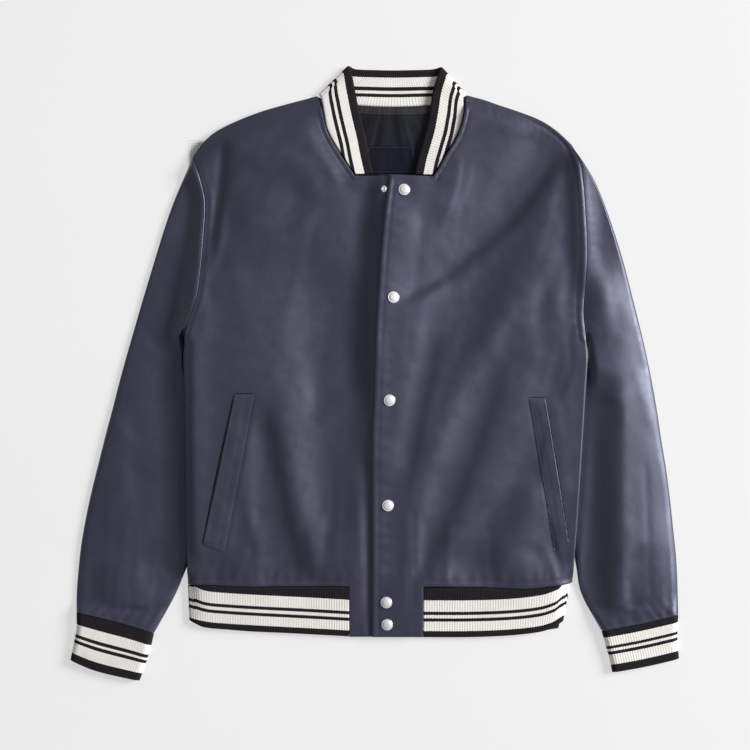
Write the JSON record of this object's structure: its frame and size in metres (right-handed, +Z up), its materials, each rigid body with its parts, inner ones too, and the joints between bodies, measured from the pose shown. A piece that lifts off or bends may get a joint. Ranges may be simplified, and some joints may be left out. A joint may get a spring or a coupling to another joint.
{
  "type": "varsity jacket",
  "caption": "Varsity jacket laid flat, with a smooth dark body and sleeves, striped rib collar, cuffs and hem, a snap front and slanted welt pockets.",
  "frame": {"origin": "on the surface that the jacket lies on, under the middle of its outline", "axes": "+X to the wearer's left sleeve, +Y from the hem to the collar, +Z up, out of the fronts"},
  "size_m": [0.792, 0.8004, 0.0274],
  "materials": {
    "cloth": "smooth navy satin-weave shell with a soft sheen",
    "rib": "cream rib knit with black stripes",
    "lining": "plain dark lining",
    "label": "bare woven label",
    "snap": "polished metal snap"
  },
  "bodies": {
    "root": {"back_panel": "cloth", "front_right": "cloth", "front_left": "cloth", "sleeve_right": "cloth", "sleeve_left": "cloth", "pocket_welt_right": "cloth", "pocket_welt_left": "cloth", "collar": "rib", "cuff_right": "rib", "cuff_left": "rib", "hem_rib": "rib", "back_lining": "lining", "neck_label": "label", "snap_cap_1": "snap", "snap_cap_2": "snap", "snap_cap_3": "snap", "snap_cap_4": "snap", "snap_cap_5": "snap", "snap_cap_6": "snap", "snap_stud": "snap"}
  },
  "joints": []
}
